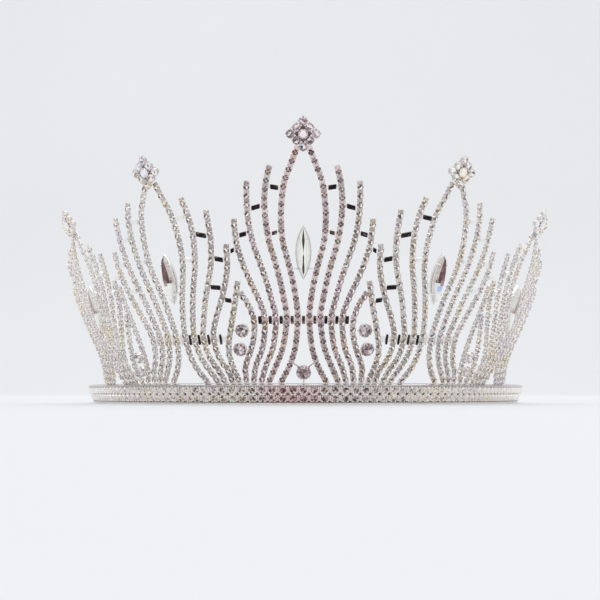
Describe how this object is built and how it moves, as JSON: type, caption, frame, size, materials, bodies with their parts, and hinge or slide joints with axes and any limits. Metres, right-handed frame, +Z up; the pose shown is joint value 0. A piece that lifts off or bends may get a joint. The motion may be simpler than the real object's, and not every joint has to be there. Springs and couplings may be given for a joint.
{
  "type": "rhinestone tiara",
  "caption": "Open-backed, flared silver tiara of pinched sprays of small clear stones, each with a pointed long stone, on a band with wire loops at its ends.",
  "frame": {"origin": "middle of the bottom of the whole object's box, on the floor that the band rests on", "axes": "+Z up, -Y to the front where the tallest spray is, +X to the viewer's right as seen from the front"},
  "size_m": [0.1664, 0.1372, 0.0855],
  "materials": {
    "plated_metal": "bright silver-coloured plating",
    "small_stones": "clear cut stones with mirrored backs",
    "marquise_stones": "clear cut stones with open backs",
    "round_stones": "clear cut stones with mirrored backs"
  },
  "bodies": {
    "root": {"base_band": "plated_metal", "band_stones": "small_stones", "spray_centre": "plated_metal", "spray_left": "plated_metal", "spray_right": "plated_metal", "spray_far_left": "plated_metal", "spray_far_right": "plated_metal", "tip_stones_centre": "small_stones", "tip_stones_left": "small_stones", "tip_stones_right": "small_stones", "tip_stones_far_left": "small_stones", "tip_stones_far_right": "small_stones", "marquise_setting_centre": "plated_metal", "marquise_setting_left": "plated_metal", "marquise_setting_right": "plated_metal", "marquise_setting_far_left": "plated_metal", "marquise_setting_far_right": "plated_metal", "marquise_stone_centre": "marquise_stones", "marquise_stone_left": "marquise_stones", "marquise_stone_right": "marquise_stones", "marquise_stone_far_left": "marquise_stones", "marquise_stone_far_right": "marquise_stones", "leaf_left": "plated_metal", "leaf_right": "plated_metal", "leaf_far_left": "plated_metal", "leaf_far_right": "plated_metal", "leaf_stone_left_upper": "round_stones", "leaf_stone_left_lower": "round_stones", "leaf_stone_right_upper": "round_stones", "leaf_stone_right_lower": "round_stones", "leaf_stone_far_left_upper": "round_stones", "leaf_stone_far_left_lower": "round_stones", "leaf_stone_far_right_upper": "round_stones", "leaf_stone_far_right_lower": "round_stones", "drop_setting": "plated_metal", "drop_stone": "round_stones", "end_wire_left": "plated_metal", "end_wire_right": "plated_metal", "pin_loop": "plated_metal"}
  },
  "joints": []
}
